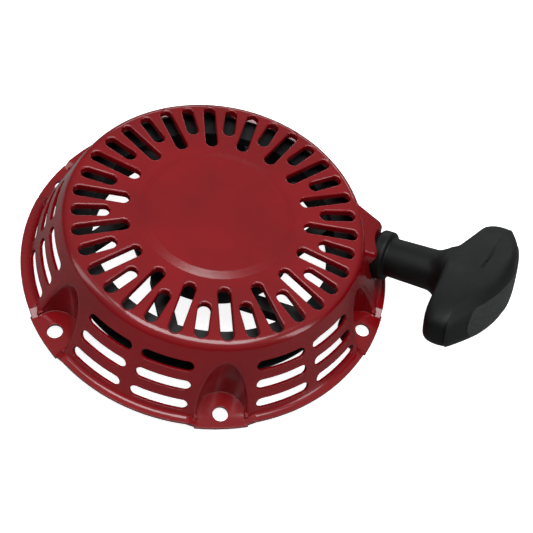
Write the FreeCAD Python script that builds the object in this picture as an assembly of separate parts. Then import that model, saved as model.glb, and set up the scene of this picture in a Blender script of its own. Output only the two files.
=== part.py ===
import FreeCAD, Part
import os
from math import acos, atan, cos, degrees, hypot, pi, radians, sin, sqrt, tan

# Recoil starter for a small engine, in millimetres.
# Origin: centre of the bolt circle, on the plane that the mounting pads bolt down on.
# +Z runs up the reel's axis to the closed face, +X is the way the rope is pulled.

V = FreeCAD.Vector
UP = V(0, 0, 1)

# Housing: a pressed steel dome with six pads
wall = 1.5                    # sheet thickness
top_z = 38.5                  # height of the flat, slotted face
base_r = 90.5                 # cone's radius at z = 0
cone_slope = 0.51             # radius lost per mm of height
edge_round = 5.0              # round between cone and flat face
dish_r = 33.4                 # raised centre disc
dish_foot_r = 37.4
dish_rise = 0.8
flange_r = 92.3
flange_z = 2.0                # underside of the rim between the pads
rim_round = 2.5               # hollow round between cone and rim
pad_edge_r = 93.0
bolt_pcd = 172.0
bolt_count = 6
bolt_hole_r = 3.6
first_bolt_angle = -13.5      # degrees from +X
pad_half_angle = 7.6
ramp_length = 4.0             # slope from each side of a pad up to the rim
ramp_lead = 1.2               # its upper face starts this much sooner, which keeps it thick
pocket_r = 11.0               # scoop above each pad, for the spanner
pocket_edge_round = 2.2

# Cooling slots
long_slots = 18
slot_width = 5.8
long_slot_in, long_slot_out = 41.9, 68.0
short_slot_in, short_slot_out = 50.2, 67.6
slot_lip_depth = 3.6          # turned-down lip under each slot
slot_lip_wall = 1.1
slot_edge_round = 0.9
side_slot_rows = (8.5, 17.9, 27.1)
side_slot_height = 5.4
side_slot_spans = ((10.4, 28.25), (31.75, 49.6))    # degrees past each bolt

# Rope outlet
rope_d = 4.5
rope_y = 15.0
rope_z = 20.0
pull_rise = 20.0              # degrees that the line of pull climbs from the outlet
pull_yaw = -20.0              # degrees that it turns about Z, towards the drum's tangent
lead_bend_r = 9.0             # rope turns this tightly inside the guide
boss_front_x = 81.0
boss_half_width = 15.0
boss_nose_half = 11.8         # half its width at the front
boss_back_x = 52.0
boss_drop = 7.0               # the hood's top falls this much to its front
boss_corner_round = 4.6       # its upright corners
boss_round = 4.8              # its top edges
hood_clear = 18.0             # no side slots within this angle of the hood
guide_r = 6.2
guide_bore_clear = 0.9        # between rope and bore
guide_lip_r = 7.4
guide_lip = 0.6
guide_length = 7.0
guide_flare = 3.0             # length of the flared mouth inside
guide_rim = 0.9               # wall left at the mouth
lead_corner = 3.4             # from the outlet back to where the rope's two runs would meet

# Centre post, welded under the disc
post_r = 8.0
post_flange_r = 18.0
post_flange = 1.6
bolt_r = 3.0
running = 0.05                # radial clearance of shafts in bores
gap = 0.3                     # clearance between faces that pass each other

# Reel
cup_r = 40.0                  # spring cup
cup_wall = 2.4
cup_floor = 2.5
cup_floor_z = 21.5
cup_top_z = 34.4
drum_r = 61.0
drum_wall = 2.2
reel_r = 71.3
reel_flange = 1.8
rope_turns = 3
spoke_count = 6
spoke_width = 7.0
spoke_sweep = 24.0            # degrees each spoke leans round
spoke_height = 6.5
carrier_r = 27.0              # bottom disc that holds the pawls
carrier_z = 2.0
carrier_top_z = 14.0
neck_r = 21.0

# Recoil spring
strip = 0.6
strip_height = 8.0
spring_turns = 8
spring_in_r = post_r + 2.4

# Pawls and their friction plate
pawl_pin_at = 19.0
pawl_pin_r = 2.0
pawl_thickness = 4.8
pawl_head_r = 4.6
pawl_reach = 13.5
pawl_tip_outer = 3.4          # tip's width either side of the arm's middle
pawl_tip_inner = 1.2
pawl_room = 0.6               # clearance round each pawl in the carrier
pawl_over = 4.0               # degrees that the recess leaves each pawl past its swing
ratchet_spring_room = 2.6     # height of the well over each pawl
ratchet_wire = 0.4
peg_reach = 9.0
peg_r = 1.4
peg_rest_angle = -100.0
pawl_swing = 30.0
plate_swing = 25.0
plate_thickness = 1.4
plate_r = 26.0
plate_flat_angle = 20.0
washer_r = 12.5
washer_thickness = 1.5
spring_washer_height = 1.4
bolt_head_af = 10.0
bolt_head = 4.0

# Handle, built along its own axis and then turned into place
handle_twist = -15.0          # degrees about its own axis
collar_r = 12.4
collar_seat_r = 10.2
collar_clear = 1.2            # between the collar and the seat pressed for it
seat_reach = 30.0             # length of the tool that presses the seat
collar_bead = 2.2             # length of the bevel up to the collar's full size
collar_round = 1.4
collar_length = 7.8
stem_r = 9.8
stem_end_r = 10.4
bar_half_length = 47.5
bar_inner_s = 38.3            # from the collar's seat to the bar's inner face
bar_sweep = 5.2               # how far the inner face leans away at its ends
bar_outer_s = 68.1
bar_end_depth = 11.0
bar_half_thickness = 13.4
bar_round = 6.0
bar_corner_round = 5.2
cap_half_length = 36.0
cap_half_width = 8.4
cap_depth = 2.6
knot_r = 4.6
knot_angle = 50.0             # where the rope passes through the drum's wall
retainer_r = 7.6
retainer_thickness = 1.5
retainer_s = 48.0

# Worked out from the values above
cone_lean = atan(cone_slope)
wall_across = wall / cos(cone_lean)
seat_z = wall
rim_foot_r = base_r - cone_slope * flange_z - wall_across
guide_bore_r = rope_d / 2 + guide_bore_clear
bolt_angles = [first_bolt_angle + 360.0 / bolt_count * k for k in range(bolt_count)]
disc_under_z = top_z + dish_rise - wall
groove = rope_turns * rope_d + 0.9
reel_low_z = rope_z - groove / 2 - reel_flange
reel_top_z = rope_z + groove / 2 + reel_flange
coil_r = drum_r + 0.1 + rope_d
lead_r = coil_r + gap + rope_d / 2
plate_z = carrier_z - gap - plate_thickness
post_low_z = plate_z
washer_z = post_low_z - spring_washer_height - washer_thickness
hood_angle = degrees(atan(rope_y / boss_front_x))
spring_z = cup_floor_z + cup_floor + 0.8
outlet = V(boss_front_x, rope_y, rope_z)
pull = V(cos(radians(pull_rise)) * cos(radians(pull_yaw)), cos(radians(pull_rise)) * sin(radians(pull_yaw)),
         sin(radians(pull_rise)))


def polar(r, angle, z=0.0):
    return V(r * cos(radians(angle)), r * sin(radians(angle)), z)


def cylinder(r, z0, z1, at=V(0, 0, 0)):
    return Part.makeCylinder(r, z1 - z0, V(at.x, at.y, z0))


def tube(r_in, r_out, z0, z1, at=V(0, 0, 0)):
    return cylinder(r_out, z0, z1, at).cut(cylinder(r_in, z0 - 1, z1 + 1, at))


def turned(points):
    """Solid of revolution about Z from corner points (r, z)."""
    corners = [V(r, 0, z) for r, z in points]
    return Part.Face(Part.makePolygon(corners + corners[:1])).revolve(V(0, 0, 0), UP, 360)


def spun(shape, angle, centre=V(0, 0, 0), axis=UP):
    copy = shape.copy()
    copy.rotate(centre, axis, angle)
    return copy


def sector(r_in, r_out, z0, z1, angle0, angle1):
    """Block between two radii, two heights and two angles."""
    corners = [V(r_in, 0, z0), V(r_out, 0, z0), V(r_out, 0, z1), V(r_in, 0, z1)]
    face = Part.Face(Part.makePolygon(corners + corners[:1]))
    return spun(face.revolve(V(0, 0, 0), UP, angle1 - angle0), angle0)


def stadium(half_length, half_width, z0, z1):
    """Prism with round ends along X, centred on the origin."""
    straight = half_length - half_width
    ends = [cylinder(half_width, z0, z1, V(side * straight, 0, 0)) for side in (-1, 1)]
    middle = Part.makeBox(2 * straight, 2 * half_width, z1 - z0, V(-straight, -half_width, z0))
    return middle.fuse(ends).removeSplitter()


def near_edges(shape, wanted):
    """Edges whose middle point meets a condition."""
    found = []
    for edge in shape.Edges:
        middle = edge.valueAt((edge.FirstParameter + edge.LastParameter) / 2)
        if wanted(middle):
            found.append(edge)
    return found


def cone_r(z):
    return base_r - cone_slope * z


def at_outlet(shape):
    """Turns a shape built along X into the line of pull, with its origin at the outlet."""
    shape = shape.copy()
    shape.rotate(V(0, 0, 0), V(0, 1, 0), -pull_rise)
    shape.rotate(V(0, 0, 0), UP, pull_yaw)
    shape.translate(outlet)
    return shape


def dome(inset):
    """Solid under the dome's outer skin, or under a skin that lies inset inside it."""
    skin_r = base_r - inset / cos(cone_lean)
    z = top_z - inset
    r_round = edge_round - inset
    reach = r_round * tan((pi / 2 - cone_lean) / 2)
    corner = V(skin_r - cone_slope * z, 0, z)
    down = V(sin(cone_lean), 0, -cos(cone_lean))
    arc_start = corner - V(reach, 0, 0)
    arc_end = corner + down * reach
    centre = arc_start - V(0, 0, r_round)
    lean = (pi / 2 + cone_lean) / 2
    arc_middle = centre + V(cos(lean), 0, sin(lean)) * r_round
    foot = V(skin_r - cone_slope * flange_z, 0, flange_z)
    line = [V(0, 0, flange_z), V(0, 0, z + dish_rise), V(dish_r - inset / 2, 0, z + dish_rise),
            V(dish_foot_r - inset / 2, 0, z), arc_start]
    edges = [Part.LineSegment(a, b).toShape() for a, b in zip(line, line[1:])]
    edges.append(Part.Arc(arc_start, arc_middle, arc_end).toShape())
    edges.append(Part.LineSegment(arc_end, foot).toShape())
    edges.append(Part.LineSegment(foot, line[0]).toShape())
    return Part.Face(Part.Wire(edges)).revolve(V(0, 0, 0), UP, 360)


def hood(inset):
    """Hood that carries the rope outlet: a blunt nose on the cone, its top falling to the front."""
    front = boss_front_x - inset
    z = top_z - inset
    front_z = z - boss_drop
    side = boss_half_width - inset
    nose = boss_nose_half - inset
    back = cone_r(z) - edge_round
    seam = 0.6
    plan = [V(boss_back_x, side, 0), V(back, side, 0), V(front, nose, 0), V(front, -nose, 0),
            V(back, -side, 0), V(boss_back_x, -side, 0)]
    block = Part.Face(Part.makePolygon(plan + plan[:1])).extrude(V(0, 0, top_z))
    profile = [V(boss_back_x, 0, flange_z), V(front, 0, flange_z), V(front, 0, front_z),
               V(back, 0, z - seam), V(boss_back_x, 0, z - seam)]
    slab = Part.Face(Part.makePolygon(profile + profile[:1])).extrude(V(0, 2 * side, 0))
    slab.translate(V(0, -side, 0))
    block = block.common(slab)
    upright = near_edges(block, lambda p: p.x > front - 0.01 and abs(abs(p.y) - nose) < 0.01)
    block = block.makeFillet(boss_corner_round - inset, upright)
    top = near_edges(block, lambda p: p.x > back + 1 and p.z > front_z - 0.01)
    block = block.makeFillet(boss_round - inset, top)
    block.translate(V(0, rope_y, 0))
    return block


def outlet_seat(inset):
    """Round flat pressed square to the line of pull, where the handle's collar rests."""
    return at_outlet(Part.makeCylinder(collar_r + collar_clear + inset, seat_reach, V(-inset, 0, 0), V(1, 0, 0)))


def pocket(r, angle):
    return cylinder(r, 0, top_z + 5, polar(bolt_pcd / 2, angle))


def scooped(body, r, edge_r):
    """Takes the spanner scoops out of a dome solid and rounds the edges they leave."""
    for angle in bolt_angles:
        body = body.cut(pocket(r, angle))

    def on_scoop(p):
        if p.z < flange_z + 1:
            return False
        return any(abs(hypot(p.x - c.x, p.y - c.y) - r) < 0.05
                   for c in (polar(bolt_pcd / 2, angle) for angle in bolt_angles))

    return body.makeFillet(edge_r, near_edges(body, on_scoop))


def ramp(angle, way):
    """Slope from a pad's floor up to the rim, starting at an angle and going one way round."""
    over = ramp_lead + 0.3
    low = [V(0, -over, 0), V(0, 0, 0), V(0, ramp_length, flange_z), V(0, ramp_length + over, flange_z)]
    high = [V(0, ramp_length + over, flange_z + wall), V(0, ramp_length - ramp_lead, flange_z + wall),
            V(0, -ramp_lead, wall), V(0, -over, wall)]
    outline = [V(0, p.y * way, p.z) for p in low + high]
    slope = Part.Face(Part.makePolygon(outline + outline[:1])).extrude(V(pad_edge_r, 0, 0))
    return spun(slope, angle).common(tube(rim_foot_r, flange_r, 0, flange_z + wall))


def pad(angle):
    """Seat of one bolt: a floor, the low end of its scoop, and a slope at each side up to the rim."""
    at = polar(bolt_pcd / 2, angle)
    half = pad_half_angle
    floor = cylinder(pocket_r + wall, 0, seat_z, at)
    floor = floor.fuse(sector(cone_r(0) - wall_across, pad_edge_r, 0, seat_z, angle - half, angle + half))
    scoop_foot = tube(pocket_r, pocket_r + wall, 0, flange_z + wall, at).common(cylinder(cone_r(flange_z), -1, top_z))
    slopes = [ramp(angle + way * half, way) for way in (-1, 1)]
    return floor.common(cylinder(pad_edge_r, -1, top_z)).fuse([scoop_foot] + slopes)


def rim():
    """Rim that turns out from the cone's foot through a hollow round, left open at the pads."""
    top = flange_z + wall
    corner = V(cone_r(top), 0, top)
    reach = rim_round * tan((pi / 2 - cone_lean) / 2)
    arc_start = corner + V(reach, 0, 0)
    arc_end = corner + V(-sin(cone_lean), 0, cos(cone_lean)) * reach
    centre = arc_start + V(0, 0, rim_round)
    arc_middle = centre + (corner - centre).normalize() * rim_round
    line = [arc_end, arc_end - V(wall_across / 2, 0, 0), V(rim_foot_r, 0, flange_z), V(flange_r, 0, flange_z),
            V(flange_r, 0, top), arc_start]
    edges = [Part.LineSegment(a, b).toShape() for a, b in zip(line, line[1:])]
    edges.append(Part.Arc(arc_start, arc_middle, arc_end).toShape())
    ring = Part.Face(Part.Wire(edges)).revolve(V(0, 0, 0), UP, 360)
    half = pad_half_angle + degrees(ramp_length / flange_r)
    clearings = [pocket(pocket_r, angle) for angle in bolt_angles]
    clearings += [sector(rim_foot_r - 1, flange_r + 1, 0, top_z, angle - half, angle + half) for angle in bolt_angles]
    return ring.cut(clearings)


def side_slots():
    """Curved slots through the cone: three rows, two groups between neighbouring bolts."""
    tools = []
    out = V(cos(cone_lean), 0, sin(cone_lean))
    along = V(-sin(cone_lean), 0, cos(cone_lean))
    reach = 5.0
    half = side_slot_height / 2
    for z in side_slot_rows:
        middle = V(cone_r(z), 0, z)
        corners = [middle + out * (reach * a) + along * (half * b) for a, b in ((-1, -1), (1, -1), (1, 1), (-1, 1))]
        face = Part.Face(Part.makePolygon(corners + corners[:1]))
        round_end = Part.makeCylinder(half, 2 * reach, middle - out * reach, out)
        end_angle = degrees(half / cone_r(z))
        for bolt in bolt_angles:
            for start, stop in side_slot_spans:
                low, high = bolt + start + end_angle, bolt + stop - end_angle
                middle_angle = (low + high) / 2 % 360
                if abs(middle_angle - hood_angle) < hood_clear:
                    continue
                tools.append(spun(face.revolve(V(0, 0, 0), UP, high - low), low))
                tools += [spun(round_end, low), spun(round_end, high)]
    return tools


def top_slot_tools(grow, z0, z1):
    tools = []
    for k in range(2 * long_slots):
        inner, outer = (long_slot_in, long_slot_out) if k % 2 == 0 else (short_slot_in, short_slot_out)
        slot = stadium((outer - inner) / 2 + grow, slot_width / 2 + grow, z0, z1)
        slot.translate(V((inner + outer) / 2, 0, 0))
        tools.append(spun(slot, first_bolt_angle + 180.0 / long_slots * k))
    return tools


def housing():
    outer = scooped(dome(0).fuse(hood(0)), pocket_r, pocket_edge_round).cut(outlet_seat(0))
    inner = scooped(dome(wall).fuse(hood(wall)), pocket_r + wall, pocket_edge_round - wall).cut(outlet_seat(wall))
    lips = Part.makeCompound(top_slot_tools(slot_lip_wall, top_z - slot_lip_depth, top_z - wall / 2))
    shell = outer.cut(inner).fuse(lips.common(outer))
    body = shell.fuse([rim()] + [pad(angle) for angle in bolt_angles])
    body = body.cut(Part.makeCompound(top_slot_tools(0, top_z - 2 * slot_lip_depth, top_z + 1)))
    body = body.makeFillet(slot_edge_round, near_edges(body, on_slot_rim))
    holes = [cylinder(bolt_hole_r, -1, seat_z + 1, polar(bolt_pcd / 2, angle)) for angle in bolt_angles]
    outlet_hole = at_outlet(Part.makeCylinder(guide_r, 2 * guide_length, V(-guide_length, 0, 0), V(1, 0, 0)))
    return body.cut(holes + side_slots() + [outlet_hole]).removeSplitter()


def on_slot_rim(p):
    r = hypot(p.x, p.y)
    return abs(p.z - top_z) < 0.01 and dish_foot_r + 1 < r < long_slot_out + 0.5


def rope_guide():
    """Ferrule in the outlet: a shank through the sheet, a lip outside and a flared mouth inside."""
    back = -guide_length
    mouth = guide_r - guide_rim
    outline = [V(back, guide_r, 0), V(0, guide_r, 0), V(0, guide_lip_r, 0), V(guide_lip, guide_lip_r, 0),
               V(guide_lip, guide_bore_r, 0), V(back + guide_flare, guide_bore_r, 0), V(back, mouth, 0)]
    face = Part.Face(Part.makePolygon(outline + outline[:1]))
    body = face.revolve(V(0, 0, 0), V(1, 0, 0), 360)
    lip = near_edges(body, lambda p: p.x > guide_lip - 0.01 and hypot(p.y, p.z) > guide_lip_r - 0.01)
    return at_outlet(body.makeFillet(guide_lip / 2, lip))


def centre_post():
    flange = cylinder(post_flange_r, disc_under_z - post_flange, disc_under_z)
    stem = cylinder(post_r, post_low_z, disc_under_z - post_flange / 2)
    bore = cylinder(bolt_r, post_low_z - 1, post_low_z + 18)
    hook_slot = Part.makeBox(post_r + 1, strip + 0.6, strip_height + 2)
    hook_slot.translate(V(post_r - 3, -strip / 2 - 0.3, spring_z - 1))
    return flange.fuse(stem).cut([bore, hook_slot]).removeSplitter()


def swept_spoke(angle):
    """Flat bar from the cup out to the drum, leaning round as it goes."""
    start = polar(cup_r - 1.5, 0)
    end = polar(drum_r - drum_wall / 2, spoke_sweep)
    run = end - start
    bar = Part.makeBox(run.Length, spoke_width, spoke_height, V(0, -spoke_width / 2, 0))
    bar.rotate(V(0, 0, 0), UP, degrees(atan(run.y / run.x)))
    bar.translate(start + V(0, 0, cup_floor_z - spoke_height / 2))
    ring = tube(cup_r - 1.5, drum_r - 0.5, 0, top_z)
    return spun(bar.common(ring), angle)


def pawl_arm(grow, height):
    """The pawl's arm at rest, about its pivot, grown sideways and past its tip."""
    rest = radians(peg_rest_angle)
    along = V(cos(rest), sin(rest), 0)
    side = V(-sin(rest), cos(rest), 0)
    root = pawl_head_r * 0.92 + grow
    tip = along * (pawl_reach + grow)
    outline = [side * root, tip + side * (pawl_tip_outer + grow), tip - side * (pawl_tip_inner + grow), side * -root]
    return Part.Face(Part.makePolygon(outline + outline[:1])).extrude(V(0, 0, height))


def pawl_pockets():
    """Recesses under the carrier that let each pawl swing out past the rim."""
    height = 1 + pawl_thickness + 2 * gap
    sweep = [cylinder(pawl_head_r + pawl_room, 0, height)]
    steps = 6
    for n in range(steps + 1):
        sweep.append(spun(pawl_arm(pawl_room, height), (pawl_swing + pawl_over) * n / steps))
    recess = sweep[0].fuse(sweep[1:])
    recess.translate(V(pawl_pin_at, 0, carrier_z - 1))
    return [spun(recess, 180 * k) for k in range(2)]


def reel():
    """One moulding: spring cup, spokes, grooved drum and the carrier for the pawls."""
    cup = turned([(post_r + running, cup_floor_z), (cup_r, cup_floor_z), (cup_r, cup_top_z),
                  (cup_r - cup_wall, cup_top_z), (cup_r - cup_wall, cup_floor_z + cup_floor),
                  (post_r + running, cup_floor_z + cup_floor)])
    drum = turned([(drum_r - drum_wall, reel_low_z), (reel_r, reel_low_z), (reel_r, reel_low_z + reel_flange),
                   (drum_r, reel_low_z + reel_flange), (drum_r, reel_top_z - reel_flange),
                   (reel_r, reel_top_z - reel_flange), (reel_r, reel_top_z), (drum_r - drum_wall, reel_top_z)])
    hub = turned([(post_r + running, carrier_z), (carrier_r, carrier_z), (carrier_r, carrier_top_z),
                  (neck_r, carrier_top_z), (neck_r, cup_floor_z + cup_floor / 2),
                  (post_r + running, cup_floor_z + cup_floor / 2)])
    drum_hole = Part.makeCylinder(rope_d / 2 + 0.2, 8, V(drum_r - drum_wall - 3, 0, rope_z), V(1, 0, 0))
    pins = [cylinder(pawl_pin_r, carrier_z - 1, carrier_top_z - 1, polar(pawl_pin_at, 180 * k)) for k in range(2)]
    wells = [cylinder(pawl_head_r - 0.4, carrier_z, carrier_z + pawl_thickness + 2 * gap + ratchet_spring_room,
                      polar(pawl_pin_at, 180 * k)) for k in range(2)]
    spokes = [swept_spoke(360.0 / spoke_count * k) for k in range(spoke_count)]
    anchor = Part.makeBox(1.4, strip + 0.8, strip_height + 2, V(cup_r - cup_wall - 0.4, -strip / 2 - 0.4, spring_z - 1))
    body = cup.fuse([drum, hub] + spokes)
    cuts = pawl_pockets() + pins + wells + [spun(drum_hole, knot_angle), anchor]
    return body.cut(cuts).removeSplitter()


def recoil_spring():
    """Flat strip wound in half circles whose centres alternate, so that each meets the last smoothly."""
    step = (cup_r - cup_wall - 1.2 - spring_in_r) / spring_turns
    half_step = step / 2
    inner, outer = [], []
    r = spring_in_r
    centre = 0.0
    side = 1
    for k in range(2 * spring_turns):
        for offset, chain in ((0, inner), (strip, outer)):
            ends = [V(centre + side * (r + offset), 0, spring_z), V(centre - side * (r + offset), 0, spring_z)]
            top = V(centre, side * (r + offset), spring_z)
            chain.append(Part.Arc(ends[0], top, ends[1]).toShape())
        end_x = centre - side * r
        centre += side * half_step / 2
        r = abs(end_x - centre)
        side = -side
    first = Part.LineSegment(inner[0].valueAt(inner[0].FirstParameter), outer[0].valueAt(outer[0].FirstParameter))
    last = Part.LineSegment(inner[-1].valueAt(inner[-1].LastParameter), outer[-1].valueAt(outer[-1].LastParameter))
    loop = Part.Wire(Part.__sortEdges__(inner + outer + [first.toShape(), last.toShape()]))
    return Part.Face(loop).extrude(V(0, 0, strip_height))


def rope_coil():
    """The turns wound on the drum, side by side, as one closed ring."""
    low = rope_z - rope_turns * rope_d / 2
    high = rope_z + rope_turns * rope_d / 2
    ring = tube(drum_r + 0.1, coil_r, low, high)
    return ring.makeFillet(rope_d / 3, near_edges(ring, lambda p: hypot(p.x, p.y) > coil_r - 0.01))


def rope_lead():
    """Rope off the drum: along the tangent to the guide, then round into the line of pull."""
    corner = outlet - pull * lead_corner
    distance = hypot(corner.x, corner.y)
    touch_angle = degrees(atan(corner.y / corner.x) + acos(lead_r / distance))
    start = polar(lead_r, touch_angle, rope_z)
    inward = (corner - start).normalize()
    turn = inward.getAngle(pull)
    reach = lead_bend_r * tan(turn / 2)
    bend_start = corner - inward * reach
    bend_end = corner + pull * reach
    centre = corner + (pull - inward).normalize() * (lead_bend_r / cos(turn / 2))
    bend_middle = centre + (corner - centre).normalize() * lead_bend_r
    edges = [Part.LineSegment(start, bend_start).toShape(),
             Part.Arc(bend_start, bend_middle, bend_end).toShape(),
             Part.LineSegment(bend_end, outlet).toShape()]
    print("rope lead bend radius", lead_bend_r, "turn", round(degrees(turn), 1))
    section = Part.Wire([Part.Circle(start, inward, rope_d / 2).toShape()])
    return Part.Wire(edges).makePipeShell([section], True, False)


def knot(x, radius):
    """Stopper knot: a round lump on the rope, which runs along X."""
    return Part.makeSphere(radius, V(x, 0, 0))


def reel_knot():
    """Rope end through the drum wall, and the knot that holds it inside."""
    inner = drum_r - drum_wall
    lump = knot(inner - gap - knot_r, knot_r)
    tail = Part.makeCylinder(rope_d / 2, drum_wall + gap + knot_r, V(inner - gap - knot_r, 0, 0), V(1, 0, 0))
    body = lump.fuse(tail).removeSplitter()
    body.translate(V(0, 0, rope_z))
    return spun(body, knot_angle)


def pawl(k):
    """Dog that swings out to catch the engine's cup, with the peg that the friction plate steers."""
    low = carrier_z + gap
    head = cylinder(pawl_head_r, low, low + pawl_thickness)
    arm = pawl_arm(0, pawl_thickness)
    arm.translate(V(0, 0, low))
    rest = radians(peg_rest_angle)
    peg = cylinder(peg_r, plate_z - gap, low + 1, V(peg_reach * cos(rest), peg_reach * sin(rest), 0))
    body = head.fuse([arm, peg]).cut(cylinder(pawl_pin_r + running, low - 1, low + pawl_thickness + 1))
    body = body.removeSplitter()
    body.translate(V(pawl_pin_at, 0, 0))
    return spun(body, 180 * k)


def pawl_pins():
    pins = [cylinder(pawl_pin_r, carrier_z, carrier_top_z - 1, polar(pawl_pin_at, 180 * k)) for k in range(2)]
    return Part.makeCompound(pins)


def ratchet_springs():
    """Light torsion spring over each pawl: two coils and a leg."""
    wire = ratchet_wire
    low = carrier_z + gap + pawl_thickness + gap + wire
    springs = []
    for k in range(2):
        coils = [Part.makeTorus(pawl_pin_r + 0.9, wire, V(0, 0, low + 2 * wire * 0.98 * n)) for n in range(2)]
        leg = Part.makeCylinder(wire, 2.2, V(0, pawl_pin_r + 0.9, low), V(-1, 0, 0))
        spring = coils[0].fuse([coils[1], leg]).removeSplitter()
        spring.translate(V(pawl_pin_at, 0, 0))
        springs.append(spun(spring, 180 * k))
    return Part.makeCompound(springs)


def peg_at(swing):
    """Where the first pawl's peg stands, as radius and angle, once the pawl has swung."""
    angle = radians(peg_rest_angle + swing)
    x = pawl_pin_at + peg_reach * cos(angle)
    y = peg_reach * sin(angle)
    return hypot(x, y), degrees(atan(y / x))


def friction_plate():
    """Steel disc with a slanted slot for each peg: turning it on the reel drives the pawls out."""
    plate = tube(post_r + running, plate_r, plate_z, plate_z + plate_thickness)
    steps = 6
    end = 1 + pawl_over / pawl_swing
    for k in range(2):
        spots = []
        for n in range(steps + 1):
            share = end * n / steps
            r, angle = peg_at(pawl_swing * share)
            spots.append(polar(r, angle - plate_swing * share + 180 * k))
        slot = [cylinder(peg_r + gap, plate_z - 1, plate_z + plate_thickness + 1, spot) for spot in spots]
        for a, b in zip(spots, spots[1:]):
            link = Part.makeBox((b - a).Length, 2 * (peg_r + gap), plate_thickness + 2, V(0, -peg_r - gap, plate_z - 1))
            link.Placement = FreeCAD.Placement(V(a.x, a.y, 0), FreeCAD.Rotation(V(1, 0, 0), b - a))
            slot.append(link)
        plate = plate.cut(slot)
        flat = Part.makeBox(2 * plate_r, plate_r, plate_thickness + 2, V(-plate_r, plate_r * 0.72, plate_z - 1))
        plate = plate.cut(spun(flat, 180 * k + plate_flat_angle))
    return plate.removeSplitter()


def spring_washer():
    """Dished washer that presses the plate so that it drags as the reel turns."""
    low = post_low_z - spring_washer_height
    thick = 0.6
    return turned([(bolt_r + 0.3, low), (bolt_r + 0.3 + 1, low), (washer_r, low + spring_washer_height - thick),
                   (washer_r, low + spring_washer_height), (washer_r - 1.5, low + spring_washer_height),
                   (bolt_r + 0.3, low + thick)])


def thrust_washer():
    ring = tube(bolt_r + 0.2, washer_r, washer_z, washer_z + washer_thickness)
    return ring.makeChamfer(0.3, near_edges(ring, lambda p: hypot(p.x, p.y) > washer_r - 0.01))


def centre_bolt():
    """Hexagon bolt up into the post, with its thread drawn as a plain shank."""
    corners = [polar(bolt_head_af / sqrt(3), 60 * k, washer_z - bolt_head) for k in range(6)]
    head = Part.Face(Part.makePolygon(corners + corners[:1])).extrude(V(0, 0, bolt_head))
    crown = Part.makeCone(bolt_head_af / 2 * 0.95, bolt_head_af / 2 * 0.95 + bolt_head * 1.7, bolt_head,
                          V(0, 0, washer_z - bolt_head))
    return head.common(crown).fuse(cylinder(bolt_r, washer_z, post_low_z + 16)).removeSplitter()


def placed(shape):
    """Turns a handle piece about its own axis and seats it at the outlet."""
    shape = shape.copy()
    shape.rotate(V(0, 0, 0), V(1, 0, 0), handle_twist)
    shape.translate(V(gap, 0, 0))
    return at_outlet(shape)


def bar():
    """Crescent cross bar: its inner face leans away from the stem, its outer face is one arc."""
    end_in = V(bar_inner_s + bar_sweep, bar_half_length, 0)
    end_out = V(bar_inner_s + bar_sweep + bar_end_depth, bar_half_length, 0)
    middle = V(bar_inner_s, 0, 0)
    mirror = [V(p.x, -p.y, 0) for p in (end_in, end_out)]
    edges = [Part.LineSegment(mirror[0], middle).toShape(), Part.LineSegment(middle, end_in).toShape(),
             Part.LineSegment(end_in, end_out).toShape(),
             Part.Arc(end_out, V(bar_outer_s, 0, 0), mirror[1]).toShape(),
             Part.LineSegment(mirror[1], mirror[0]).toShape()]
    block = Part.Face(Part.Wire(edges)).extrude(V(0, 0, 2 * bar_half_thickness))
    block.translate(V(0, 0, -bar_half_thickness))
    upright = near_edges(block, lambda p: abs(p.z) < 0.01 and abs(p.y) > bar_half_length - 0.1)
    block = block.makeFillet(bar_corner_round, upright)
    loops = near_edges(block, lambda p: abs(abs(p.z) - bar_half_thickness) < 0.01)
    return block.makeFillet(bar_round, loops)


def stem():
    """Round stem from the bar to a beaded collar, hollowed to clear the rope guide's lip."""
    recess_r = guide_lip_r + 2 * gap
    recess = 2 * guide_lip
    root = bar_inner_s + bar_sweep
    points = [(0, recess), (recess_r, recess), (recess_r, 0), (collar_seat_r, 0), (collar_r, collar_bead),
              (collar_r, collar_length - collar_round), (stem_r, collar_length), (stem_end_r, root), (0, root)]
    body = turned(points)
    rings = near_edges(body, lambda p: hypot(p.x, p.y) > collar_r - 0.1)
    body = body.makeFillet(collar_round, rings)
    body.rotate(V(0, 0, 0), V(0, 1, 0), 90)
    return body


def cap_prism(grow):
    prism = stadium(cap_half_length + grow, cap_half_width + grow, bar_inner_s, bar_outer_s + 5)
    prism.rotate(V(0, 0, 0), UP, 90)
    prism.rotate(V(0, 0, 0), V(0, 1, 0), 90)
    return prism


def handle_cavity():
    bore = Part.makeCylinder(rope_d / 2 + 0.3, bar_outer_s, V(-1, 0, 0), V(1, 0, 0))
    well = Part.makeCylinder(retainer_r + 0.2, bar_outer_s, V(retainer_s, 0, 0), V(1, 0, 0))
    return bore, well


def handle_body():
    whole = bar().fuse(stem())
    inset = bar()
    inset.translate(V(-cap_depth, 0, 0))
    recess = cap_prism(0.25).cut(inset)
    bore, well = handle_cavity()
    return placed(whole.cut([recess, bore, well]).removeSplitter())


def handle_cap():
    inset = bar()
    inset.translate(V(-cap_depth + 0.1, 0, 0))
    return placed(bar().common(cap_prism(0)).cut(inset).removeSplitter())


def rope_retainer():
    ring = tube(rope_d / 2 + 0.1, retainer_r, 0, retainer_thickness)
    ring.rotate(V(0, 0, 0), V(0, 1, 0), 90)
    ring.translate(V(retainer_s, 0, 0))
    return placed(ring)


def handle_knot():
    centre_s = retainer_s + retainer_thickness + knot_r - 0.3
    tail = Part.makeCylinder(rope_d / 2, centre_s - retainer_s - 0.5, V(retainer_s + 0.5, 0, 0), V(1, 0, 0))
    return placed(knot(centre_s, knot_r).fuse(tail).removeSplitter())


def rope_tail():
    """Rope inside the handle's bore."""
    return placed(Part.makeCylinder(rope_d / 2, retainer_s + 0.5, V(0, 0, 0), V(1, 0, 0)))


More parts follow.
